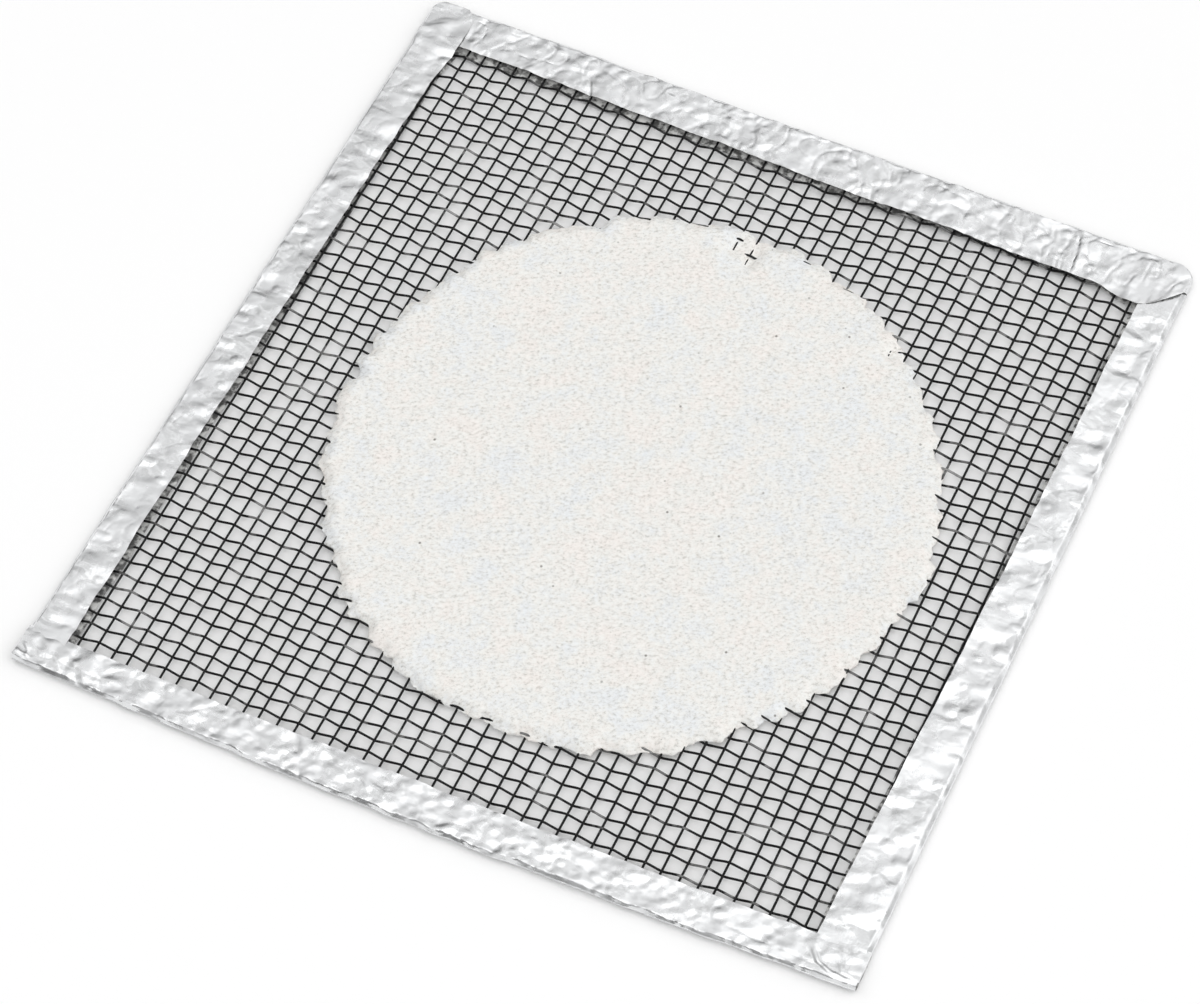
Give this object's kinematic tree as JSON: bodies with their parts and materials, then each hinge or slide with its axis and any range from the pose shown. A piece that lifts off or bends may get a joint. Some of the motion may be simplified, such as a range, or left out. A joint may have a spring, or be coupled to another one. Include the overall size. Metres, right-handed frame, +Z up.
{
  "type": "wire gauze",
  "caption": "Square of woven iron wire with a thin round ceramic centre and folded aluminium foil edging, to hold a vessel over a burner flame.",
  "frame": {"origin": "on the surface that the gauze rests on, under the middle of its outline", "axes": "+X along the crimped wires towards the right edge, +Y along the straight wires towards the far edge, +Z up through the sheet"},
  "size_m": [0.1257, 0.1278, 0.0021],
  "materials": {
    "ceramic": null,
    "foil": "bright soft aluminium foil tape, folded by hand and crinkled over the wires",
    "warp_wire": "annealed iron wire with a black oxide skin",
    "weft_wire": "annealed iron wire with a black oxide skin, crimped over the straight wires"
  },
  "bodies": {
    "root": {"ceramic_centre": "ceramic", "foil_near": "foil", "foil_right": "foil", "foil_far": "foil", "foil_left": "foil", "warp_wires_01": "warp_wire", "warp_wires_02": "warp_wire", "warp_wires_03": "warp_wire", "warp_wires_04": "warp_wire", "warp_wires_05": "warp_wire", "warp_wires_06": "warp_wire", "warp_wires_07": "warp_wire", "warp_wires_08": "warp_wire", "warp_wires_09": "warp_wire", "warp_wires_10": "warp_wire", "warp_wires_11": "warp_wire", "warp_wires_12": "warp_wire", "weft_wires_01": "weft_wire", "weft_wires_02": "weft_wire", "weft_wires_03": "weft_wire", "weft_wires_04": "weft_wire", "weft_wires_05": "weft_wire", "weft_wires_06": "weft_wire", "weft_wires_07": "weft_wire", "weft_wires_08": "weft_wire", "weft_wires_09": "weft_wire", "weft_wires_10": "weft_wire", "weft_wires_11": "weft_wire", "weft_wires_12": "weft_wire", "weft_wires_13": "weft_wire", "weft_wires_14": "weft_wire"}
  },
  "joints": []
}
